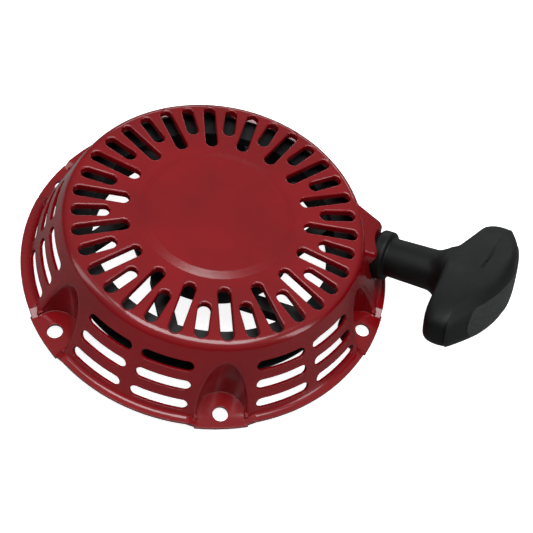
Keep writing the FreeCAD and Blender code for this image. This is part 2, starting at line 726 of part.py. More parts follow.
pieces = {
    "housing": housing, "rope_guide": rope_guide, "centre_post": centre_post, "recoil_spring": recoil_spring,
    "reel": reel, "rope_coil": rope_coil, "rope_lead": rope_lead, "reel_knot": reel_knot,
    "pawl_a": lambda: pawl(0), "pawl_b": lambda: pawl(1), "pawl_pins": pawl_pins,
    "ratchet_springs": ratchet_springs, "friction_plate": friction_plate, "spring_washer": spring_washer,
    "thrust_washer": thrust_washer, "centre_bolt": centre_bolt, "handle_body": handle_body,
    "handle_cap": handle_cap, "rope_retainer": rope_retainer, "handle_knot": handle_knot, "rope_tail": rope_tail,
}

os.makedirs("parts", exist_ok=True)
for name, make in pieces.items():
    shape = make()
    shape.exportStep("parts/" + name + ".step")
    print(name, "solids", len(shape.Solids), "valid", shape.isValid(), "volume", round(shape.Volume, 1))
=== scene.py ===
import bmesh
import bpy
import numpy as np
from math import acos, cos, hypot, radians, sin, tan, tau
from mathutils import Matrix, Vector


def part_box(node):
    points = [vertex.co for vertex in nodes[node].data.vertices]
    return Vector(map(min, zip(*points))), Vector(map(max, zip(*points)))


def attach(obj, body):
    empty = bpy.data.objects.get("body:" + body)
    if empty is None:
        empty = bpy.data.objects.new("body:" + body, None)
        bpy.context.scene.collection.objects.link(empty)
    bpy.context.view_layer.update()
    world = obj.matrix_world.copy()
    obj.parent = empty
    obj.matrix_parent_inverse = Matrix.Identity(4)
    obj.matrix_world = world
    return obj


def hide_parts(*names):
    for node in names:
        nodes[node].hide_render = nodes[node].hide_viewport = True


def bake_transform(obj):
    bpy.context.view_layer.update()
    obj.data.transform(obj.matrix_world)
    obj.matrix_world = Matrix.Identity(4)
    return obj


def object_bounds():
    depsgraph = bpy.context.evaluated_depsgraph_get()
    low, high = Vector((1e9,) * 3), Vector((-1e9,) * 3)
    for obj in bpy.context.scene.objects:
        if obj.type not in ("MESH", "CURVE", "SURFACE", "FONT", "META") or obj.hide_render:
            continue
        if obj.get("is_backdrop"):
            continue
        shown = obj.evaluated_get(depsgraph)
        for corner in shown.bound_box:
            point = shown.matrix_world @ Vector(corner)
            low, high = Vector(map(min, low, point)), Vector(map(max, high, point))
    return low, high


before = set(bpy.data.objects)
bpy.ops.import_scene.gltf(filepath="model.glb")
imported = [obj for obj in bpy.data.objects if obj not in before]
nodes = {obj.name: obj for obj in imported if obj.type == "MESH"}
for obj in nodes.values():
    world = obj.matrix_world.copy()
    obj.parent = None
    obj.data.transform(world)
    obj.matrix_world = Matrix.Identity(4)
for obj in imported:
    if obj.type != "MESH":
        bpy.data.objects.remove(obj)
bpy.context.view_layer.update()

mm = 0.001


camera = {
    "place": (0.015547, -0.237281, 0.344272),
    "lookAt": (0.029804, 0.003811, 0.0),
    "rollDeg": 17.166,
    "lensMm": 55.11,
    "sensorMm": 36.0,
    "clip": (0.01, 20.0),
}


def aimed(place, target):
    # stands at place with -Z pointed at target and Y as near to up as it can be
    place, target = Vector(place), Vector(target)
    return Matrix.Translation(place) @ (target - place).to_track_quat("-Z", "Y").to_matrix().to_4x4()


def makeCamera(spec):
    # aimed at its target, then rolled about its own line of sight
    data = bpy.data.cameras.new("studioCamera")
    data.lens = spec["lensMm"]
    data.sensor_width = spec["sensorMm"]
    data.clip_start, data.clip_end = spec["clip"]
    obj = bpy.data.objects.new("studioCamera", data)
    bpy.context.scene.collection.objects.link(obj)
    roll = Matrix.Rotation(radians(spec["rollDeg"]), 4, "Z")
    obj.matrix_world = aimed(spec["place"], spec["lookAt"]) @ roll
    bpy.context.scene.camera = obj


makeCamera(camera)
print("camera placed")


def linear(hexColour):
    # sRGB hex to linear RGBA: below 0.04045 a 12.92th, above it ((s + 0.055) / 1.055) to the power 2.4
    s = np.array([int(hexColour[i:i + 2], 16) for i in (1, 3, 5)]) / 255.0
    rgb = np.where(s <= 0.04045, s / 12.92, ((s + 0.055) / 1.055) ** 2.4)
    return (*rgb.tolist(), 1.0)


def add(tree, kind, settings=None, inputs=None):
    # one node: attributes from settings, sockets from inputs; a socket given as (node, output) is linked
    node = tree.nodes.new(kind)
    for key, value in (settings or {}).items():
        setattr(node, key, value)
    for key, value in (inputs or {}).items():
        if isinstance(value, tuple) and hasattr(value[0], "outputs"):
            tree.links.new(value[0].outputs[value[1]], node.inputs[key])
        else:
            node.inputs[key].default_value = value
    return node


def newMaterial(name):
    # an empty node material and its tree
    material = bpy.data.materials.new(name)
    material.use_nodes = True
    material.node_tree.nodes.clear()
    return material, material.node_tree


enamel = {
    "colour": "#8c0913", "deep": "#7a070f",       # full coat, and where it lies thicker
    "cloudMm": 38.0, "peelMm": 2.4, "nibMm": 11.7,
    "peelDepthMm": 0.15, "nibDepthMm": 0.05,
    "roughness": 0.16, "coat": 0.15, "coatRoughness": 0.04, "roundedEdgeMm": 0.5,
}


def stovedRedEnamel(spec):
    # Stoved gloss enamel sprayed on pressed steel: wet-looking with soft edges,
    # a faint orange peel in the reflections and a few dust nibs.
    material, tree = newMaterial("stovedRedEnamel")
    at = (add(tree, "ShaderNodeTexCoord"), "Object")
    cloud = add(tree, "ShaderNodeTexNoise", inputs={
        "Vector": at, "Scale": 1 / (spec["cloudMm"] * mm), "Detail": 3.0})
    peel = add(tree, "ShaderNodeTexNoise", inputs={
        "Vector": at, "Scale": 1 / (spec["peelMm"] * mm), "Detail": 1.0})
    nib = add(tree, "ShaderNodeTexVoronoi", inputs={"Vector": at, "Scale": 1 / (spec["nibMm"] * mm)})
    thick = add(tree, "ShaderNodeMapRange", inputs={
        "Value": (cloud, "Fac"), "From Min": 0.35, "From Max": 0.7})
    tone = add(tree, "ShaderNodeMix", {"data_type": "RGBA"}, {
        "Factor": (thick, "Result"), "A": linear(spec["colour"]), "B": linear(spec["deep"])})
    gloss = add(tree, "ShaderNodeMapRange", inputs={
        "Value": (cloud, "Fac"), "From Min": 0.3, "From Max": 0.75,
        "To Min": spec["roughness"] - 0.03, "To Max": spec["roughness"] + 0.05})
    edge = add(tree, "ShaderNodeBevel", {"samples": 4}, {"Radius": spec["roundedEdgeMm"] * mm})
    wave = add(tree, "ShaderNodeBump", inputs={
        "Height": (peel, "Fac"), "Strength": 0.10, "Distance": spec["peelDepthMm"] * mm,
        "Normal": (edge, "Normal")})
    speck = add(tree, "ShaderNodeMapRange", inputs={
        "Value": (nib, "Distance"), "From Min": 0.0, "From Max": 0.045, "To Min": 1.0, "To Max": 0.0})
    nibs = add(tree, "ShaderNodeBump", inputs={
        "Height": (speck, "Result"), "Strength": 0.25, "Distance": spec["nibDepthMm"] * mm,
        "Normal": (wave, "Normal")})
    shader = add(tree, "ShaderNodeBsdfPrincipled", inputs={
        "Base Color": (tone, "Result"), "Roughness": (gloss, "Result"), "IOR": 1.52,
        "Coat Weight": spec["coat"], "Coat Roughness": spec["coatRoughness"], "Normal": (nibs, "Normal")})
    add(tree, "ShaderNodeOutputMaterial", inputs={"Surface": (shader, "BSDF")})
    return material


nylon = {"colour": "#0e0f11", "worn": "#1b1c1f", "flowMm": 22.0, "grainMm": 0.9, "grainDepthMm": 0.08,
         "roughness": 0.42}


def mouldedBlackNylon(spec):
    # Glass-filled nylon, injection moulded: dark and even, with flow marks that change its gloss.
    material, tree = newMaterial("mouldedBlackNylon")
    at = (add(tree, "ShaderNodeTexCoord"), "Object")
    flow = add(tree, "ShaderNodeTexNoise", inputs={
        "Vector": at, "Scale": 1 / (spec["flowMm"] * mm), "Detail": 4.0, "Distortion": 1.2})
    grain = add(tree, "ShaderNodeTexNoise", inputs={
        "Vector": at, "Scale": 1 / (spec["grainMm"] * mm), "Detail": 2.0})
    wear = add(tree, "ShaderNodeMapRange", inputs={"Value": (flow, "Fac"), "From Min": 0.4, "From Max": 0.75})
    tone = add(tree, "ShaderNodeMix", {"data_type": "RGBA"}, {
        "Factor": (wear, "Result"), "A": linear(spec["colour"]), "B": linear(spec["worn"])})
    gloss = add(tree, "ShaderNodeMapRange", inputs={
        "Value": (flow, "Fac"), "From Min": 0.3, "From Max": 0.7,
        "To Min": spec["roughness"] - 0.08, "To Max": spec["roughness"] + 0.1})
    bump = add(tree, "ShaderNodeBump", inputs={
        "Height": (grain, "Fac"), "Strength": 0.25, "Distance": spec["grainDepthMm"] * mm})
    shader = add(tree, "ShaderNodeBsdfPrincipled", inputs={
        "Base Color": (tone, "Result"), "Roughness": (gloss, "Result"), "IOR": 1.53,
        "Normal": (bump, "Normal")})
    add(tree, "ShaderNodeOutputMaterial", inputs={"Surface": (shader, "BSDF")})
    return material


metals = {
    "zincPlatedSteel": {"light": "#cfd0cb", "dark": "#a9a68f", "patchMm": 9.0, "streak": (1, 1, 14),
                        "streakMm": 1.2, "roughness": 0.3, "bump": 0.12},
    "bluedSpringSteel": {"light": "#5b6069", "dark": "#3a3c40", "patchMm": 14.0, "streak": (1, 1, 9),
                         "streakMm": 0.8, "roughness": 0.32, "bump": 0.15},
    "sinteredSteel": {"light": "#6d6c6a", "dark": "#4a4947", "patchMm": 6.0, "streak": (1, 1, 1),
                      "streakMm": 0.6, "roughness": 0.5, "bump": 0.5},
}
markDepthMm = 0.06


def bareMetal(name, spec):
    # Zinc plate: bright, with yellow and grey passivation patches and draw marks.
    # Blued strip: dark blue-grey with lengthwise marks. Sintered: dull, with open pores.
    material, tree = newMaterial(name)
    at = (add(tree, "ShaderNodeTexCoord"), "Object")
    drawnOut = add(tree, "ShaderNodeMapping", inputs={"Vector": at, "Scale": spec["streak"]})
    patch = add(tree, "ShaderNodeTexNoise", inputs={
        "Vector": at, "Scale": 1 / (spec["patchMm"] * mm), "Detail": 4.0})
    mark = add(tree, "ShaderNodeTexNoise", inputs={
        "Vector": (drawnOut, "Vector"), "Scale": 1 / (spec["streakMm"] * mm), "Detail": 3.0})
    stain = add(tree, "ShaderNodeMapRange", inputs={
        "Value": (patch, "Fac"), "From Min": 0.4, "From Max": 0.65})
    tone = add(tree, "ShaderNodeMix", {"data_type": "RGBA"}, {
        "Factor": (stain, "Result"), "A": linear(spec["light"]), "B": linear(spec["dark"])})
    gloss = add(tree, "ShaderNodeMapRange", inputs={
        "Value": (mark, "Fac"), "From Min": 0.3, "From Max": 0.7,
        "To Min": spec["roughness"] - 0.08, "To Max": spec["roughness"] + 0.12})
    bump = add(tree, "ShaderNodeBump", inputs={
        "Height": (mark, "Fac"), "Strength": spec["bump"], "Distance": markDepthMm * mm})
    shader = add(tree, "ShaderNodeBsdfPrincipled", inputs={
        "Base Color": (tone, "Result"), "Roughness": (gloss, "Result"), "Metallic": 1.0,
        "Normal": (bump, "Normal")})
    add(tree, "ShaderNodeOutputMaterial", inputs={"Surface": (shader, "BSDF")})
    return material


gripPlastic = {"colour": "#070909", "scuffed": "#0f1213", "sparkMm": 0.45, "scuffMm": 16.0,
               "sparkDepthMm": 0.07, "roughness": 0.5, "specular": 0.3}


def satinBlackPolypropylene(spec):
    # Moulded polypropylene from a spark-eroded tool: satin black with a fine, even texture and dull scuffs.
    # The texture is drawn about twice as coarse as the real one so that it shows.
    material, tree = newMaterial("satinBlackPolypropylene")
    at = (add(tree, "ShaderNodeTexCoord"), "Object")
    spark = add(tree, "ShaderNodeTexNoise", inputs={
        "Vector": at, "Scale": 1 / (spec["sparkMm"] * mm), "Detail": 2.0})
    scuff = add(tree, "ShaderNodeTexNoise", inputs={
        "Vector": at, "Scale": 1 / (spec["scuffMm"] * mm), "Detail": 5.0, "Roughness": 0.6})
    dull = add(tree, "ShaderNodeMapRange", inputs={
        "Value": (scuff, "Fac"), "From Min": 0.48, "From Max": 0.8})
    tone = add(tree, "ShaderNodeMix", {"data_type": "RGBA"}, {
        "Factor": (dull, "Result"), "A": linear(spec["colour"]), "B": linear(spec["scuffed"])})
    gloss = add(tree, "ShaderNodeMapRange", inputs={
        "Value": (scuff, "Fac"), "From Min": 0.3, "From Max": 0.7,
        "To Min": spec["roughness"] - 0.05, "To Max": spec["roughness"] + 0.1})
    bump = add(tree, "ShaderNodeBump", inputs={
        "Height": (spark, "Fac"), "Strength": 0.3, "Distance": spec["sparkDepthMm"] * mm})
    shader = add(tree, "ShaderNodeBsdfPrincipled", inputs={
        "Base Color": (tone, "Result"), "Roughness": (gloss, "Result"), "IOR": 1.49,
        "Specular IOR Level": spec["specular"], "Normal": (bump, "Normal")})
    add(tree, "ShaderNodeOutputMaterial", inputs={"Surface": (shader, "BSDF")})
    return material


# the near-black colour for the seam is painted shade where the insert meets the grip
panelPlastic = {"colour": "#343737", "pitShade": "#202222", "seam": "#030303", "grainMm": 0.9,
                "grainDepthMm": 0.12, "roughness": 0.62}


def grainedGreyPanel(spec):
    # Dull dark-grey insert with a pebbled grain; its rolled edge, where it sinks into the grip, is painted
    # near-black as painted shade in the seam.
    material, tree = newMaterial("grainedGreyPanel")
    at = (add(tree, "ShaderNodeTexCoord"), "Object")
    pebble = add(tree, "ShaderNodeTexVoronoi", {"feature": "SMOOTH_F1"}, {
        "Vector": at, "Scale": 1 / (spec["grainMm"] * mm), "Smoothness": 0.6})
    seam = add(tree, "ShaderNodeAttribute", {"attribute_name": "seam"})
    # painted shade: the valleys between the pebbles, where the bump lies low, are painted darker
    pitShadeMask = add(tree, "ShaderNodeMapRange", inputs={
        "Value": (pebble, "Distance"), "From Min": 0.2, "From Max": 0.7})
    tone = add(tree, "ShaderNodeMix", {"data_type": "RGBA"}, {
        "Factor": (pitShadeMask, "Result"), "A": linear(spec["colour"]), "B": linear(spec["pitShade"])})
    # painted shade: the rolled edge's attribute darkens the insert to near-black in the seam
    seamShaded = add(tree, "ShaderNodeMix", {"data_type": "RGBA"}, {
        "Factor": (seam, "Fac"), "A": (tone, "Result"), "B": linear(spec["seam"])})
    bump = add(tree, "ShaderNodeBump", {"invert": True}, {
        "Height": (pebble, "Distance"), "Strength": 0.5, "Distance": spec["grainDepthMm"] * mm})
    shader = add(tree, "ShaderNodeBsdfPrincipled", inputs={
        "Base Color": (seamShaded, "Result"), "Roughness": spec["roughness"], "IOR": 1.49,
        "Normal": (bump, "Normal")})
    add(tree, "ShaderNodeOutputMaterial", inputs={"Surface": (shader, "BSDF")})
    return material


# the crown colour is a painted highlight on the strands' crowns, and the base colour lies in the grooves
# between them as painted shade
braid = {"colour": "#1d1f22", "crown": "#3b3e43", "fleck": "#8f9296", "plaitMm": 5.12, "fleckMm": 11.0,
         "strandDepthMm": 0.35, "roughness": 0.72, "sheen": 0.25}


def braidedPolyester(spec):
    # Diamond-braided polyester starter rope: two sets of strands cross at 45 degrees, dull with a
    # slight sheen.
    # U runs along the rope and V round it, both in millimetres.
    material, tree = newMaterial("braidedPolyester")
    at = (add(tree, "ShaderNodeTexCoord"), "UV")
    strands = []
    for turn in (45, -45):
        turned = add(tree, "ShaderNodeMapping", inputs={"Vector": at, "Rotation": (0, 0, radians(turn))})
        strands.append(add(tree, "ShaderNodeTexWave", inputs={
            "Vector": (turned, "Vector"), "Scale": 1 / spec["plaitMm"]}))
    height = add(tree, "ShaderNodeMath", {"operation": "MULTIPLY"})
    for socket, strand in zip(height.inputs, strands):
        tree.links.new(strand.outputs["Fac"], socket)
    fleck = add(tree, "ShaderNodeTexVoronoi", inputs={"Vector": at, "Scale": 1 / spec["fleckMm"]})
    dot = add(tree, "ShaderNodeMapRange", inputs={
        "Value": (fleck, "Distance"), "From Min": 0.05, "From Max": 0.1, "To Min": 0.8, "To Max": 0.0})
    # painted shade and highlight: the colour follows the strands' relief, lighter on their crowns and darker in
    # the grooves
    tone = add(tree, "ShaderNodeMix", {"data_type": "RGBA"}, {
        "Factor": (height, "Value"), "A": linear(spec["colour"]), "B": linear(spec["crown"])})
    flecked = add(tree, "ShaderNodeMix", {"data_type": "RGBA"}, {
        "Factor": (dot, "Result"), "A": (tone, "Result"), "B": linear(spec["fleck"])})
    bump = add(tree, "ShaderNodeBump", inputs={
        "Height": (height, "Value"), "Strength": 0.8, "Distance": spec["strandDepthMm"] * mm})
    shader = add(tree, "ShaderNodeBsdfPrincipled", inputs={
        "Base Color": (flecked, "Result"), "Roughness": spec["roughness"], "Sheen Weight": spec["sheen"],
        "Normal": (bump, "Normal")})
    add(tree, "ShaderNodeOutputMaterial", inputs={"Surface": (shader, "BSDF")})
    return material


redEnamel = stovedRedEnamel(enamel)
blackNylon = mouldedBlackNylon(nylon)
zinc, bluedSteel, sintered = [bareMetal(name, spec) for name, spec in metals.items()]
blackGrip = satinBlackPolypropylene(gripPlastic)
greyPanel = grainedGreyPanel(panelPlastic)
starterRope = braidedPolyester(braid)
finishes = {
    redEnamel: ["housing"],
    blackNylon: ["reel"],
    zinc: ["rope_guide", "centre_post", "pawl_pins", "friction_plate", "thrust_washer", "centre_bolt",
           "rope_retainer"],
    bluedSteel: ["recoil_spring", "ratchet_springs", "spring_washer"],
    sintered: ["pawl_a", "pawl_b"],
    blackGrip: ["handle_body"],
    greyPanel: ["handle_cap"],
    starterRope: ["rope_coil", "rope_lead", "rope_tail", "reel_knot", "handle_knot"],
}
for material, names in finishes.items():
    for name in names:
        nodes[name].data.materials.clear()
        nodes[name].data.materials.append(material)
print("finishes made")


def gridMesh(name, points, material, uv=None):
    # Skin over a grid of points in metres, rows by columns: each cell is a quad and the last column joins the
    # first. The skin is turned to face outwards, which is where the volume it holds comes out positive.
    # A quad across the join takes V on past its highest value, so that a pattern runs on over it.
    rows, columns = points.shape[:2]
    mesh = bpy.data.meshes.new(name)
    index = np.arange(rows * columns).reshape(rows, columns)
    right = np.roll(index, -1, axis=1)
    quads = np.stack([index[:-1], right[:-1], right[1:], index[1:]], axis=-1).reshape(-1, 4)
    flat = points.reshape(-1, 3)
    a, b, c, d = (flat[quads[:, k]] for k in range(4))
    volume = np.einsum("ij,ij->i", a, np.cross(b, c)).sum() + np.einsum("ij,ij->i", a, np.cross(c, d)).sum()
    if volume < 0:
        quads = quads[:, ::-1]
    mesh.from_pydata(flat.tolist(), [], quads.tolist())
    if uv is not None:
        layer = mesh.uv_layers.new(name="UVMap")
        across = uv.reshape(-1, 2)[quads]
        highest, step = uv[..., 1].max(), uv[0, 1, 1]
        overJoin = np.ptp(across[..., 1], axis=1) > highest / 2
        low = overJoin[:, None] & (across[..., 1] < highest / 2)
        across[..., 1] += np.where(low, highest + step, 0)
        layer.data.foreach_set("uv", across.reshape(-1).astype(np.float32))
    mesh.shade_smooth()
    mesh.materials.append(material)
    obj = bpy.data.objects.new(name, mesh)
    bpy.context.scene.collection.objects.link(obj)
    return obj


def merged(obj):
    # joins points that coincide, as at a pole
    work = bmesh.new()
    work.from_mesh(obj.data)
    bmesh.ops.remove_doubles(work, verts=work.verts, dist=1e-7)
    bmesh.ops.dissolve_degenerate(work, dist=1e-8, edges=work.edges)
    work.to_mesh(obj.data)
    work.free()
    return obj


def smooth(low, high, value):
    # 0 below low, 1 above high, and three t squared less two t cubed between
    t = np.clip((value - low) / (high - low), 0, 1)
    return t * t * (3 - 2 * t)


def rounded(points, radii, count):
    # Even samples along straight runs whose corners are arcs: at each corner the arc leaves the runs a
    # distance of radius times the tangent of half the turn.
    points = np.array(points, float)
    line = [points[0]]
    for before, corner, after, radius in zip(points, points[1:], points[2:], radii):
        inward = (corner - before) / np.linalg.norm(corner - before)
        outward = (after - corner) / np.linalg.norm(after - corner)
        turn = acos(float(np.clip(inward @ outward, -1, 1)))
        if radius == 0 or turn < 1e-3:
            line.append(corner)
            continue
        reach = radius * tan(turn / 2)
        middle = (outward - inward) / np.linalg.norm(outward - inward)
        centre = corner + middle * radius / cos(turn / 2)
        angles = np.linspace(-turn / 2, turn / 2, 17)
        away = (inward + outward) / np.linalg.norm(inward + outward)
        arc = centre + radius * (-middle * np.cos(angles)[:, None] + away * np.sin(angles)[:, None])
        line.extend(arc)
    line.append(points[-1])
    line = np.array(line)
    length = np.concatenate([[0], np.cumsum(np.linalg.norm(np.diff(line, axis=0), axis=1))])
    at = np.linspace(0, length[-1], count)
    return np.stack([np.interp(at, length, line[:, k]) for k in range(line.shape[1])], axis=1)


rope = {"diameterMm": 4.5, "sides": 18, "stepMm": 2.5, "clearMm": 0.1}

grip = {
    # where the line of pull starts and how it runs, then the turn about it
    "outlet": (81.0, 15.0, 20.0), "riseDeg": 20.0, "yawDeg": -20.0, "twistDeg": -15.0, "gap": 0.3,
    "seatRadius": 10.2, "recessRadius": 8.0, "recessDepth": 1.2,
    "collarRadius": 12.4, "collarBead": 2.2, "collarLength": 7.8,
    "stemRadius": 9.8, "stemEndRadius": 10.4, "blendRadius": 8.5,
    "innerFace": 38.3, "sweep": 5.2, "halfLength": 47.5, "endDepth": 11.0, "outerFace": 68.1,
    "halfThickness": 13.4, "edgeRound": 6.0, "innerCorner": 7.0, "outerCorner": 6.0,
    # rounds in the recess, at its edge, at the seat, and at the collar's front and back
    "rimRounds": (0.3, 1.0, 1.6, 1.4, 0.6),
    "flattenFrom": 9.0, "flattenTo": 5.0,          # the stem goes flat this far before and after the inner face
    "arcPoints": 24, "rings": 300, "sides": 160, "squareness": 3.1,
}

rise, yaw, twist = (radians(grip[key]) for key in ("riseDeg", "yawDeg", "twistDeg"))
pull = np.array([cos(rise) * cos(yaw), cos(rise) * sin(yaw), sin(rise)])
outlet = np.array(grip["outlet"])
seat = outlet + pull * grip["gap"]


def hung(points):
    # handle's own millimetres to the row frame in metres: twist about its axis, rise about Y, yaw about Z,
    # then out to the seat
    x, y, z = points[..., 0], points[..., 1], points[..., 2]
    y, z = y * cos(twist) - z * sin(twist), y * sin(twist) + z * cos(twist)
    x, z = x * cos(rise) - z * sin(rise), x * sin(rise) + z * cos(rise)
    x, y = x * cos(yaw) - y * sin(yaw), x * sin(yaw) + y * cos(yaw)
    return (np.stack([x, y, z], axis=-1) + seat) * mm


def gripProfile(g):
    # Half outline from the collar's recess, along the stem and out round the bar: distance along the axis s,
    # half-width a, half-thickness b and squareness p. The bar's outer face is a circle's arc.
    drop = g["outerFace"] - g["innerFace"] - g["sweep"] - g["endDepth"]
    arcRadius = (g["halfLength"] ** 2 + drop ** 2) / (2 * drop)
    y = g["halfLength"] * np.sin(np.linspace(tau / 4, 0, g["arcPoints"]))
    arc = np.stack([g["outerFace"] - arcRadius + np.sqrt(arcRadius ** 2 - y ** 2), y], axis=1)
    bead, collar = g["collarBead"], g["collarLength"]
    points = [(g["recessDepth"], 0), (g["recessDepth"], g["recessRadius"]), (0, g["recessRadius"]),
              (0, g["seatRadius"]), (bead, g["collarRadius"]), (collar, g["collarRadius"]),
              (collar, g["stemRadius"]), (g["innerFace"], g["stemEndRadius"]),
              (g["innerFace"] + g["sweep"], g["halfLength"]), *arc.tolist()]
    radii = [0, *g["rimRounds"], g["blendRadius"], g["innerCorner"], g["outerCorner"]] + [0] * len(arc)
    s, a = rounded(points, radii, g["rings"]).T
    share = smooth(g["innerFace"] - g["flattenFrom"], g["innerFace"] + g["flattenTo"], s)
    b = np.minimum(a, g["collarRadius"]) * (1 - share) + g["halfThickness"] * share
    past = np.clip(s - g["outerFace"] + g["edgeRound"], 0, g["edgeRound"])
    b = np.where(past > 0, b - g["edgeRound"] + np.sqrt(g["edgeRound"] ** 2 - past ** 2), b)
    return s, a, b, 2 + (g["squareness"] - 2) * share


def section(angle, p):
    # a superellipse of power p at unit size: cosine and sine to the power two over p, with their signs
    c, d = np.cos(angle), np.sin(angle)
    return np.sign(c) * np.abs(c) ** (2 / p), np.sign(d) * np.abs(d) ** (2 / p)


def makeGrip(g):
    # T-shaped grip: a superellipse of half-sizes a and b stands at every s along the profile
    s, a, b, p = (v[:, None] for v in gripProfile(g))
    across, up = section(np.linspace(0, tau, g["sides"], endpoint=False)[None, :], p)
    points = np.stack([s + 0 * across, a * across, b * up], axis=-1)
    return merged(gridMesh("gripBody", hung(points), blackGrip))


def outerFace(y, z, g):
    # where the grip's outer side stands over a point (y, z), found by halving on s
    s, a, b, p = gripProfile(g)
    far = s > g["innerFace"] + g["sweep"] + g["endDepth"] * 0.7
    order = np.argsort(s[far])
    sFar, aFar, bFar = s[far][order], a[far][order], b[far][order]
    low = np.full(y.shape, sFar[0])
    high = np.full(y.shape, sFar[-1])
    for halving in range(40):
        middle = (low + high) / 2
        wide, thick = np.interp(middle, sFar, aFar), np.interp(middle, sFar, bFar)
        across = np.abs(y / np.maximum(wide, 1e-6)) ** p[-1]
        inside = across + np.abs(z / np.maximum(thick, 1e-6)) ** p[-1] < 1
        low, high = np.where(inside, middle, low), np.where(inside, high, middle)
    return (low + high) / 2


panel = {"halfLength": 36.0, "halfWidth": 8.4, "proud": 0.3, "edge": 0.5, "sunk": 1.2, "rings": 34,
         "rollRings": 6, "sides": 160, "straightSpan": 0.9}


def makePanel(spec):
    # Insert on the grip's outer face. Rings of one stadium outline, two straights and two half circles, are
    # shrunk towards its long axis and follow the face. The last rings roll over the edge and sink in.
    angle = np.linspace(0, tau, spec["sides"], endpoint=False)
    straight = spec["halfLength"] - spec["halfWidth"]
    quarter, half = tau / 4, spec["straightSpan"]
    turns = [0, quarter - half, quarter + half, 3 * quarter - half, 3 * quarter + half, tau]
    along = np.interp(angle, turns, np.array([1, 1, -1, -1, 1, 1]) * straight)
    bend = np.interp(angle, turns, [0, quarter, quarter, 3 * quarter, 3 * quarter, tau])
    rolled = spec["rollRings"]
    share = np.concatenate([np.linspace(0, 1, spec["rings"] - rolled), np.ones(rolled)])[:, None]
    roll = np.concatenate([np.zeros(spec["rings"] - rolled), np.linspace(0, 1, rolled)])[:, None]
    reach = spec["halfWidth"] * share - spec["edge"] * (1 - roll) * (share == 1)
    y = along + reach * np.cos(bend)
    z = reach * np.sin(bend)
    s = outerFace(y, z, grip) + spec["proud"] - spec["edge"] * roll ** 2 - spec["sunk"] * (roll == 1)
    obj = gridMesh("gripPanel", hung(np.stack([s, y, z], axis=-1)), greyPanel)
    # the rolled rings are marked for a painted shade in the seam between insert and grip
    seam = obj.data.attributes.new("seam", "FLOAT", "POINT")
    seam.data.foreach_set("value", smooth(0.0, 0.6, roll + 0 * y).reshape(-1).astype(np.float32))
    return obj


gripBody = makeGrip(grip)
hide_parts("handle_body")
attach(gripBody, "handle")
gripPanel = makePanel(panel)
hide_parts("handle_cap")
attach(gripPanel, "handle")
print("handle made")


def tubeAlong(name, path, radiusMm, alongMm=None):
    # Round tube on a path in millimetres: a circle in the plane across the path at every point, its first
    # direction being the one nearest to up. U is the length along it and V the distance round it, in mm.
    ahead = np.gradient(path, axis=0)
    ahead /= np.linalg.norm(ahead, axis=1, keepdims=True)
    up = np.array([0.02, 0.03, 1.0]) + 0 * ahead
    up -= ahead * np.einsum("ij,ij->i", up, ahead)[:, None]
    up /= np.linalg.norm(up, axis=1, keepdims=True)
    beside = np.cross(ahead, up)
    angle = np.linspace(0, tau, rope["sides"], endpoint=False)
    points = path[:, None] + radiusMm * (np.cos(angle)[None, :, None] * up[:, None]
                                         + np.sin(angle)[None, :, None] * beside[:, None])
    if alongMm is None:
        alongMm = np.concatenate([[0], np.cumsum(np.linalg.norm(np.diff(path, axis=0), axis=1))])
    uv = np.stack(np.broadcast_arrays(alongMm[:, None], angle[None, :] * radiusMm), axis=-1)
    ends = [np.broadcast_to(path[k], points[k].shape) for k in (0, -1)]
    points = np.concatenate([ends[0][None], points, ends[1][None]])
    uv = np.concatenate([uv[:1], uv, uv[-1:]])
    return merged(gridMesh(name, points * mm, starterRope, uv))


coilLow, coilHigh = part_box("rope_coil")
coilRadius = (coilHigh[0] / mm) - rope["diameterMm"] / 2
coilTurns = round((coilHigh[2] - coilLow[2]) / mm / rope["diameterMm"])


def woundRope():
    # helix on the drum: a circle that rises one diameter a turn
    count = int(coilTurns * tau * coilRadius / rope["stepMm"])
    angle = np.linspace(0, tau * (coilTurns - 1) + tau * 0.97, count)
    low = coilLow[2] / mm + rope["diameterMm"] / 2
    rise = np.clip(angle / tau * rope["diameterMm"], 0, (coilTurns - 1) * rope["diameterMm"])
    path = np.stack([coilRadius * np.cos(angle), coilRadius * np.sin(angle), low + rise], axis=1)
    return tubeAlong("ropeOnDrum", path, rope["diameterMm"] / 2 - rope["clearMm"])


drawn = {"lengthMm": 620.0, "fromMm": -0.5, "toMm": 3.5, "leadBendMm": 9.0, "cornerMm": 3.4, "leadGapMm": 0.3,
         "inHandleMm": 48.0}


def drawnRope(spec):
    # Rope off the drum, straight along the tangent to the outlet, round into the line of pull, then down the
    # grip's bore. The stretch that a pull draws out is closed up at rest, and its U spans its full length.
    corner = outlet - pull * spec["cornerMm"]
    leave = coilRadius + rope["diameterMm"] + spec["leadGapMm"]
    touch = np.arctan2(corner[1], corner[0]) + acos(leave / hypot(corner[0], corner[1]))
    points = [(leave * cos(touch), leave * sin(touch), outlet[2]), corner, seat + pull * spec["inHandleMm"]]
    path = rounded(points, [spec["leadBendMm"]], 420)
    along = np.concatenate([[0], np.cumsum(np.linalg.norm(np.diff(path, axis=0), axis=1))])
    ahead = (path - outlet) @ pull
    along = along + spec["lengthMm"] * smooth(spec["fromMm"], spec["toMm"], ahead)
    obj = tubeAlong("ropeDrawn", path, rope["diameterMm"] / 2 - rope["clearMm"], along)
    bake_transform(obj)
    return obj


knotShape = {"strandMm": 1.75, "ballMm": 4.6, "count": 150, "alongHandleMm": 53.8, "drumAngleDeg": 50.0,
             "fromAxisMm": 53.9}


